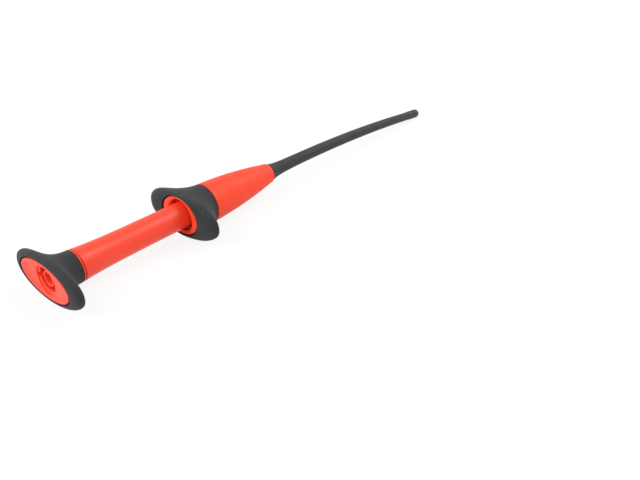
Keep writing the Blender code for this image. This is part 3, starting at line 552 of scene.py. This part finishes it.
phi = round_the_axis(64)
shoulder = np.linspace(0, 1, 7)
shoulder_x = nose_gap + shoulder_length * shoulder
shoulder_radius = tip_radius + (nose_radius - tip_radius) * shoulder**2 * (3 - 2 * shoulder)
round_over = np.radians(np.linspace(0, 90, 13))
round_x = nose_length - nose_rounding * (1 - np.sin(round_over))
round_radius = nose_radius - nose_rounding_depth * (1 - np.cos(round_over))
mouth_share = np.linspace(1, 0, 9)
mouth_width = nose_bore + (mouth_half_width - nose_bore) * mouth_share
mouth = oval(phi[None, :], mouth_width[:, None], nose_bore)
flat = np.ones_like(phi)
nose_x = np.concatenate([[-nose_root, nose_gap], shoulder_x, round_x, nose_length * mouth_share,
                         [-nose_root]])
outer = np.concatenate([np.full(2, shaft_bore - root_clearance), shoulder_radius, round_radius])
nose_row_radius = np.concatenate([outer[:, None] * flat, mouth, [nose_bore * flat]])
nose = piece_from_grid("shaft_nose", tip_rows(nose_x, nose_row_radius, phi))
nose_plastic = moulded_material("nose_plastic", colour=(0.033, 0.035, 0.037),
                                shade=(0.026, 0.027, 0.029), shine=0.3, roughness=0.5, streak=1.0,
                                grain_size=0.0003, grain_depth=0.00002)
nose.data.materials.append(nose_plastic)
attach(nose, "housing")
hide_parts("nose_tip")


# Plunger tube
# The red moulded tube that slides in the handle and holds the socket. It swells slightly where it
# leaves the thumb rest, and a snap lip on its front end holds the stop collar.

tube_low, tube_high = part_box("plunger_tube")
thumb_low, thumb_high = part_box("thumb_grip")
tube_radius = 0.0047
tail_radius = 0.00475
neck_trim = 0.00025
thumb_front = thumb_high.x - neck_trim
lip_gap = 0.00005
lip_start = thumb_front + lip_gap
lip_radius = 0.0055
lip_thickness = 0.00045
lip_edge = 0.0001
lip_groove = 0.00035
lip_groove_radius = 0.005
lip_end = lip_start + lip_thickness
flare_start = lip_end + lip_groove
flare_radius = (tube_high.z - tube_low.z) / 2
flare_edge = 0.00015
flare_length = 0.0085
step_radius = 0.00425
step_start = collar_face + 0.0077
snap_start = step_start + 0.0031
snap_radius = 0.00475
pocket_radius = 0.0039
pocket_start = tube_high.x - 0.0187
chamber_bore = 0.003
bulkhead_end = tube_low.x + 0.0265
bulkhead_start = bulkhead_end - 0.003
stem_hole = 0.0017
socket_bore = 0.0043

phi = round_the_axis(128)
# The rows stand closer together near the thumb rest, where the tube swells.
ahead = np.linspace(0, 1, 60)[1:] ** 1.5 * (step_start - flare_start - flare_edge) + flare_edge
swell = (flare_radius - tube_radius) * np.exp(-(flare_start - lip_start + ahead) / flare_length)
tube_outline = np.concatenate([
    [(tube_low.x, tail_radius), (lip_start, tail_radius)],
    edge_arc(lip_start + lip_edge, lip_radius - lip_edge, lip_edge, 180, 90, steps=3),
    edge_arc(lip_end - lip_edge, lip_radius - lip_edge, lip_edge, 90, 0, steps=3),
    [(lip_end, lip_groove_radius), (flare_start, lip_groove_radius)],
    edge_arc(flare_start + flare_edge, tube_radius + swell[0] - flare_edge, flare_edge, 180, 95),
    np.stack([flare_start + ahead, tube_radius + swell], axis=1),
    [(step_start, step_radius), (snap_start, step_radius), (snap_start, snap_radius),
     (tube_high.x, step_radius), (tube_high.x, pocket_radius), (pocket_start, pocket_radius),
     (pocket_start, chamber_bore), (bulkhead_end, chamber_bore), (bulkhead_end, stem_hole),
     (bulkhead_start, stem_hole), (bulkhead_start, socket_bore), (tube_low.x, socket_bore)],
])
tube = turned_piece("plunger_barrel", tube_outline[:, :1], tube_outline[:, 1:], phi)
red_plastic = moulded_material("red_plastic", colour=(0.92, 0.052, 0.017), shade=(0.88, 0.043, 0.013),
                               shine=0.44, roughness=0.38, streak=0.25, grain_size=0.0004,
                               grain_depth=0.00002)
tube.data.materials.append(red_plastic)
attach(tube, "plunger")
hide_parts("plunger_tube")


# Stop collar, rod and coupler
# A white keyed collar snapped on the plunger's end, the steel rod that carries the push to the
# cable, and the brass sleeve crimped over both.

rod_steel = turned_metal("rod_steel", colour=(0.6, 0.6, 0.61), shade=(0.48, 0.48, 0.5),
                         roughness=0.26, mark_width=0.0005)
give_finish("stop_collar", bearing_plastic)
give_finish("drive_rod", rod_steel)
give_finish("rod_coupler", drawn_brass)


# Drive cable
# A stranded steel cable that runs from the coupler through the liner to the pincer carrier. It
# moves with the plunger at its rear and is drawn here as staying with the shaft at its front.

cable_low, cable_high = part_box("drive_cable")
cable_radius = cable_high.y
cable_strands = 7
cable_lay = 0.006
strand_depth = 0.14
cable_setback = 0.0172

cable_end = shaft_length + nose_length - cable_setback
rear_run = np.linspace(cable_low.x - barrel_front, 0, 120)[:-1]
front_run = np.linspace(0, cable_end, 260)
cable_run = np.pad(np.concatenate([rear_run, front_run]), 1, mode="edge")
cable_phi = round_the_axis(4 * cable_strands)
twist = 2 * np.pi * (cable_run - cable_run[0])[:, None] / cable_lay
strand = np.abs(np.cos(cable_strands / 2 * (cable_phi - twist)))
strand_radius = cable_radius * (1 - strand_depth * (1 - strand))
strand_radius[[0, -1]] = 0
cable = piece_from_grid("drive_strand", shaft_rows(cable_run, strand_radius, cable_phi),
                        closed_rows=False)
cable.data.materials.append(spring_steel)
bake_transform(cable)
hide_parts("drive_cable")


# Thumb rest
# The soft oval flange that the thumb pushes, moulded over the plunger's tail in the same matt
# rubber as the finger guard. Its rear face holds the end plate in a shallow oval recess.

plate_low, plate_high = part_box("end_plate")
thumb_half_width = thumb_high.y
thumb_half_height = (thumb_high.z - thumb_low.z) / 2
thumb_neck = 0.0056
thumb_rim = (0.0013, 0.0022)
thumb_bulge = (0.0024, 0.003)
thumb_sweep = (0.0061, 0.009)
thumb_fullness = (0.6, 0.55)
plate_trim = (0.0002, 0.0003)
plate_half_width = plate_high.y - plate_trim[0]
plate_half_height = (plate_high.z - plate_low.z) / 2 - plate_trim[1]
plate_gap = (0.0006, 0.00045)

phi = round_the_axis(288, stretch=wing_stretch)
rim_radius = oval(phi, thumb_half_width, thumb_half_height, rim_power)
thumb_recess = oval(phi, plate_half_width + plate_gap[0], plate_half_height + plate_gap[1])
thumb_reach = (rim_radius - thumb_half_height) / (thumb_half_width - thumb_half_height)
thumb_x, thumb_radius = soft_grip_rows(
    edge=thumb_low.x, rear=(thumb_low.x, thumb_low.x),
    rim=(thumb_low.x + thumb_rim[0], thumb_low.x + thumb_rim[1]), front=thumb_front,
    outer=rim_radius, recess=thumb_recess, neck=thumb_neck, bulge=thumb_bulge,
    sweep=thumb_sweep, reach=thumb_reach, fullness=thumb_fullness)
flat = np.ones_like(phi)
thumb_bore = tail_radius + seat_clearance
floor_x = plate_high.x + seat_clearance
thumb_x = np.concatenate([thumb_x, [thumb_front * flat, floor_x * flat, floor_x * flat]])
thumb_radius = np.concatenate([thumb_radius, [thumb_bore * flat, thumb_bore * flat, thumb_recess]])
thumb_rest = turned_piece("thumb_rest", thumb_x, thumb_radius, phi)
thumb_rest.data.materials.append(soft_rubber)
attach(thumb_rest, "plunger")
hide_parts("thumb_grip")


# End plate
# A red oval cap set in the thumb rest, moulded in one piece and dished for the thumb inside a narrow
# rim. A sloping ledge leads from the mouth's wall to the socket, with one notch that keys the plug.

plate_rim = plate_low.x
plate_edge = 0.0003
dish_depth = 0.0007
dish_reach = 0.93
dish_power = 6
mouth_radius = 0.005
mouth_edge = 0.00015
wall_end = plate_rim + 0.00105
ledge_end = plate_rim + 0.00145
key_end = ledge_end + 0.0006
key_half_width = 0.0008
key_reach = 0.00485

phi = round_the_axis(288, stretch=1.35)
flat = np.ones_like(phi)
plate_outline = oval(phi, plate_half_width, plate_half_height)
dish_outline = dish_reach * plate_outline
inward = np.linspace(1, 0, 25)[:, None]
dish_radius = mouth_radius + mouth_edge + (dish_outline - mouth_radius - mouth_edge) * inward
dish_x = plate_rim + dish_depth * (1 - (dish_radius / dish_outline) ** dish_power)
in_key = np.abs(np.sin(phi)) * key_reach < key_half_width * np.cos(phi)
ledge_radius = np.where(in_key, key_reach / np.abs(np.cos(phi)), socket_bore)
down_ledge = (mouth_radius - ledge_radius) / (mouth_radius - socket_bore)
ledge_x = wall_end + (ledge_end - wall_end) * down_ledge
face_lip = edge_arc(plate_rim + plate_edge, -plate_edge, plate_edge, 90, 180)
mouth_lip = edge_arc(mouth_edge, mouth_edge, mouth_edge, 180, 270, steps=4)[1:]
plate_x = np.concatenate([
    [plate_high.x * flat], face_lip[:, :1] * flat, dish_x, dish_x[-1] + mouth_lip[:, :1],
    [wall_end * flat, ledge_x, key_end * flat, key_end * flat, plate_high.x * flat]])
plate_radius = np.concatenate([
    [plate_outline], plate_outline + face_lip[:, 1:], dish_radius,
    (mouth_radius + mouth_lip[:, 1:]) * flat,
    [mouth_radius * flat, ledge_radius, ledge_radius, socket_bore * flat, socket_bore * flat]])
# These rows lead over the face from the rim inwards, so they are turned round to face outwards.
plate = turned_piece("socket_plate", plate_x[::-1], plate_radius[::-1], phi)
plate_plastic = moulded_material("plate_plastic", colour=(0.93, 0.062, 0.024),
                                 shade=(0.9, 0.053, 0.019), shine=0.38, roughness=0.42, streak=1.0,
                                 grain_size=0.0004, grain_depth=0.00002)
plate.data.materials.append(plate_plastic)
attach(plate, "plunger")
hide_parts("end_plate")


# Socket shroud and contact
# A thin red insulating sleeve stands in the middle of the mouth, 1.55 mm behind the plate's rim, round
# a turned and nickel plated contact. A spring clip holds the contact behind the tube's bulkhead.

shroud_low, shroud_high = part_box("socket_shroud")
shroud_radius = shroud_high.y
shroud_wall = 0.0003
shroud_lip_inside = 0.0022
shroud_lip_length = 0.0034
contact_low, contact_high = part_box("socket_contact")
contact_gap = 0.0001
contact_start = shroud_low.x + shroud_lip_length + contact_gap
contact_bore = 0.00202
contact_clearance = 0.00015
contact_radius = shroud_radius - shroud_wall - contact_clearance
contact_edge = 0.00015
contact_edge_out = 0.00008
contact_bore_end = contact_low.x + 0.019
flange_radius = contact_high.y
flange_start = shroud_high.x + seat_clearance
flange_thickness = 0.0012
flange_end = flange_start + flange_thickness
stem_radius = 0.0014
groove_radius = 0.00105
groove_gap = 0.00015
groove_width = 0.0009
groove_start = bulkhead_end + groove_gap
groove_end = groove_start + groove_width
crimp_hole = 0.00075
crimp_depth = 0.0023

phi = round_the_axis(72)
ring_middle = (shroud_radius + shroud_lip_inside) / 2
ring_half = (shroud_radius - shroud_lip_inside) / 2
shroud_inside = shroud_radius - shroud_wall
shroud_lip_end = shroud_low.x + shroud_lip_length
shroud_outline = np.concatenate([
    edge_arc(shroud_low.x + ring_half, ring_middle, ring_half, 270, 90, steps=12),
    [(shroud_high.x, shroud_radius), (shroud_high.x, shroud_inside),
     (shroud_lip_end, shroud_inside), (shroud_lip_end, shroud_lip_inside)],
])
shroud = turned_piece("socket_ring", shroud_outline[:, :1], shroud_outline[:, 1:], phi)
# The shroud's red is paler than the plate's: painted light, standing in for the light its face loses
# deep in the mouth.
shroud_plastic_painted_light = moulded_material("shroud_plastic_painted_light", colour=(0.96, 0.07, 0.03),
                                  shade=(0.92, 0.058, 0.024), shine=0.32, roughness=0.42, streak=1.0,
                                  grain_size=0.0004, grain_depth=0.00002)
shroud.data.materials.append(shroud_plastic_painted_light)
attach(shroud, "plunger")
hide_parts("socket_shroud")

contact_middle = (contact_bore + contact_radius) / 2
crimp_end = contact_high.x - crimp_depth
contact_outline = np.concatenate([
    [(contact_bore_end, 0), (contact_bore_end, contact_bore),
     (contact_start + 2 * contact_edge, contact_bore)],
    edge_arc(contact_start + contact_edge, contact_middle + contact_edge_out, contact_edge, 240, 90),
    [(flange_start, contact_radius), (flange_start, flange_radius), (flange_end, flange_radius),
     (flange_end, stem_radius), (groove_start, stem_radius), (groove_start, groove_radius),
     (groove_end, groove_radius), (groove_end, stem_radius), (contact_high.x, stem_radius),
     (contact_high.x, crimp_hole), (crimp_end, crimp_hole), (crimp_end, 0)],
])
contact = turned_piece("plated_contact", contact_outline[:, :1], contact_outline[:, 1:], phi,
                       closed_rows=False)
nickel = turned_metal("nickel_plate", colour=(0.66, 0.64, 0.58), shade=(0.56, 0.54, 0.48),
                      roughness=0.25, mark_width=0.0002)
contact.data.materials.append(nickel)
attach(contact, "plunger")
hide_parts("socket_contact")
give_finish("contact_clip", plain_steel)


# Pincers
# Two hard drawn spring steel wires with hooks that cross at their ends, laid one above the other in
# a small round carrier. They are drawn into the nose at rest and spread as they come out of it.

carrier_length = 0.004
carrier_radius = 0.00075
carrier_rounding = 0.00025
carrier_edge = 0.0001
carrier_gap = 0.0003
pincer_setback = 0.0003
pincer_length = 0.0123
pincer_wire_radius = 0.0002
pincer_side = 0.0004
pincer_height = 0.0003
hook_radius = 0.0009
hinge_at = nose_length - pincer_setback - pincer_length
carrier_end = hinge_at - carrier_gap
carrier_start = carrier_end - carrier_length

phi = round_the_axis(40)
carrier_outline = np.concatenate([
    [(carrier_start, 0)],
    edge_arc(carrier_start + carrier_rounding, carrier_radius - carrier_rounding, carrier_rounding,
             180, 90, steps=5),
    edge_arc(carrier_end - carrier_edge, carrier_radius - carrier_edge, carrier_edge, 90, 0, steps=4),
    [(carrier_end, 0)],
])
carrier_rows = tip_rows(carrier_outline[:, 0], carrier_outline[:, 1:], phi)
carrier = piece_from_grid("pincer_ferrule", carrier_rows, closed_rows=False)
carrier.data.materials.append(plain_steel)
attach(carrier, "carrier")
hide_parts("pincer_carrier")

hook_start = pincer_length - pincer_wire_radius - hook_radius
straight = np.linspace(0, hook_start, 40)
curl = np.radians(np.linspace(0, 90, 25)[1:])
reach_out = np.concatenate([straight, hook_start + hook_radius * np.sin(curl)])
reach_in = np.concatenate([0 * straight, hook_radius * (1 - np.cos(curl))])
for name, side, body, node in (("upper_pincer", 1, "jaw_left", "pincer_left"),
                               ("lower_pincer", -1, "jaw_right", "pincer_right")):
    centres = (tip_centre + (hinge_at + reach_out)[:, None] * forward
               + side * (pincer_side - reach_in)[:, None] * sideways
               + side * pincer_height * upward)
    pincer = wire_piece(name, centres, np.broadcast_to(upward, centres.shape), pincer_wire_radius,
                        sides=20)
    pincer.data.materials.append(spring_steel)
    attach(pincer, body)
    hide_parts(node)


# Floor
# A pale studio table that runs far past the picture's edges. To the camera and in reflections it is
# close to white, and it keeps the clip's soft shadow.

floor_reach = 4.0


def seen_by_rays(nodes, links):
    """Socket that is 1 for camera, glossy and transmission rays and 0 for the rays that light the
    clip: the largest of the three answers of the light path."""
    ray = nodes.new("ShaderNodeLightPath")
    share = ray.outputs["Is Camera Ray"]
    for kind in ("Is Glossy Ray", "Is Transmission Ray"):
        larger = nodes.new("ShaderNodeMath")
        larger.operation = "MAXIMUM"
        links.new(share, larger.inputs[0])
        links.new(ray.outputs[kind], larger.inputs[1])
        share = larger.outputs["Value"]
    return share


floor_mesh = bpy.data.meshes.new("studio_floor")
floor_mesh.from_pydata([(-floor_reach, -floor_reach, 0), (floor_reach, -floor_reach, 0),
                        (floor_reach, floor_reach, 0), (-floor_reach, floor_reach, 0)],
                       [], [(0, 1, 2, 3)])
floor = bpy.data.objects.new("studio_floor", floor_mesh)
bpy.context.scene.collection.objects.link(floor)
paper = bpy.data.materials.new("studio_paper")
paper.use_nodes = True
nodes, links = paper.node_tree.nodes, paper.node_tree.links
nodes.clear()
diffuse = nodes.new("ShaderNodeBsdfDiffuse")
diffuse.inputs["Color"].default_value = (0.85, 0.85, 0.85, 1)
shown = nodes.new("ShaderNodeBsdfDiffuse")
shown.inputs["Color"].default_value = (0.12, 0.12, 0.12, 1)
glow = nodes.new("ShaderNodeEmission")
glow.inputs["Strength"].default_value = 0.87
whitened = nodes.new("ShaderNodeAddShader")
choose = nodes.new("ShaderNodeMixShader")
output = nodes.new("ShaderNodeOutputMaterial")
links.new(shown.outputs["BSDF"], whitened.inputs[0])
links.new(glow.outputs["Emission"], whitened.inputs[1])
links.new(seen_by_rays(nodes, links), choose.inputs["Fac"])
links.new(diffuse.outputs["BSDF"], choose.inputs[1])
links.new(whitened.outputs["Shader"], choose.inputs[2])
links.new(choose.outputs["Shader"], output.inputs["Surface"])
floor_mesh.materials.append(paper)


# Light and camera
# An even white surround, and two wide soft lamps: one high on the tip's side, one on the thumb's.
# The camera looks down along the clip from its thumb end, as the photograph was taken.

world = bpy.data.worlds.new("studio_world")
bpy.context.scene.world = world
world.use_nodes = True
surround = world.node_tree.nodes["Background"]
surround.inputs["Color"].default_value = (1.0, 1.0, 1.0, 1)
nodes, links = world.node_tree.nodes, world.node_tree.links
# The surround is shown a little brighter than it shines.
backdrop = nodes.new("ShaderNodeMapRange")
backdrop.inputs["To Min"].default_value = 0.76
backdrop.inputs["To Max"].default_value = 0.95
links.new(seen_by_rays(nodes, links), backdrop.inputs["Value"])
links.new(backdrop.outputs["Result"], surround.inputs["Strength"])


def soft_lamp(name, place, size, power):
    """Square lamp at a place, turned to look at the origin, which lies under the clip."""
    light = bpy.data.lights.new(name, "AREA")
    light.size = size
    light.energy = power
    lamp = bpy.data.objects.new(name, light)
    bpy.context.scene.collection.objects.link(lamp)
    lamp.location = place
    lamp.rotation_euler = (-Vector(place)).to_track_quat("-Z", "Y").to_euler()


soft_lamp("key_lamp", place=(0.6, -0.3, 0.7), size=0.5, power=3.8)
soft_lamp("fill_lamp", place=(-0.6, 0.25, 0.5), size=0.6, power=4.0)

camera_from_thumb = Vector((-0.07725, -0.1779, 0.1234))
camera_heading = math.radians(41.02)
camera_down = math.radians(31.888)
camera_roll = math.radians(-0.1)
focal_pixels = 707.5
picture_width = 640
camera_data = bpy.data.cameras.new("photo_camera")
camera_data.sensor_fit = "HORIZONTAL"
camera_data.sensor_width = 36.0
camera_data.lens = focal_pixels / picture_width * camera_data.sensor_width
camera_data.clip_start = 0.01
camera = bpy.data.objects.new("photo_camera", camera_data)
bpy.context.scene.collection.objects.link(camera)
camera.location = Vector((thumb_low.x, 0, axis_height)) + camera_from_thumb
turn_down = Matrix.Rotation(math.pi / 2 - camera_down, 3, "X")
turn_round = Matrix.Rotation(camera_heading - math.pi / 2, 3, "Z")
camera.rotation_euler = (turn_round @ turn_down @ Matrix.Rotation(camera_roll, 3, "Z")).to_euler()
bpy.context.scene.camera = camera
bpy.context.scene.view_settings.view_transform = "Standard"
